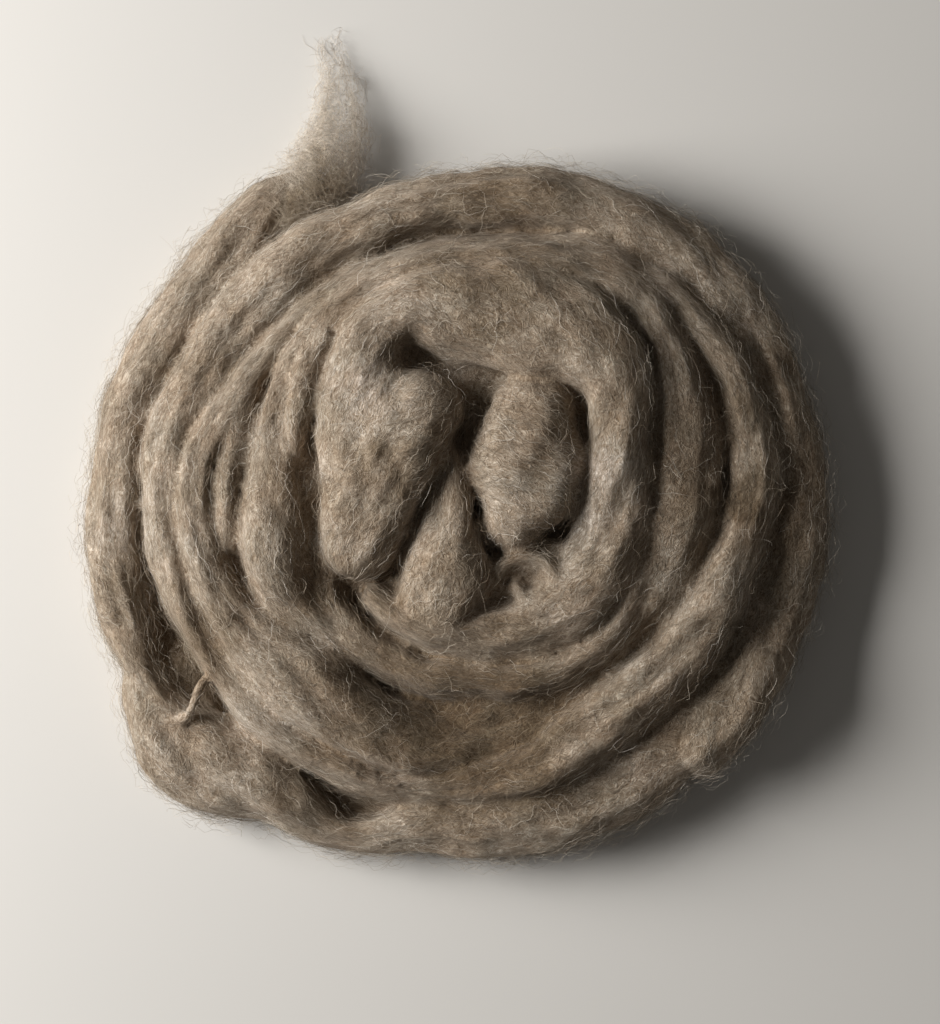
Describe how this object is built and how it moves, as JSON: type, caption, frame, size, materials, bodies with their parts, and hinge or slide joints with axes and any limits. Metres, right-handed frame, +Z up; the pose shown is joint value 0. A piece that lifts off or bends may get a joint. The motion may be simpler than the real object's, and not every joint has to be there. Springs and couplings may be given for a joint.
{
  "type": "wool roving",
  "caption": "Thick strand of natural grey-brown wool roving wound flat into a round nest, with a soft folded middle and one loose wispy end.",
  "frame": {"origin": "centre of the nest's flat underside, on the surface it lies on", "axes": "+Z up through the nest, +Y towards the side where the loose end runs out, +X to the right with +Y away from the viewer"},
  "size_m": [0.2891, 0.3191, 0.0582],
  "materials": {
    "wool_winding": "matt undyed wool fibre",
    "wool_end": "matt undyed wool fibre, thin and open"
  },
  "bodies": {
    "root": {"wound_roving": "wool_winding", "loose_end": "wool_end"}
  },
  "joints": []
}
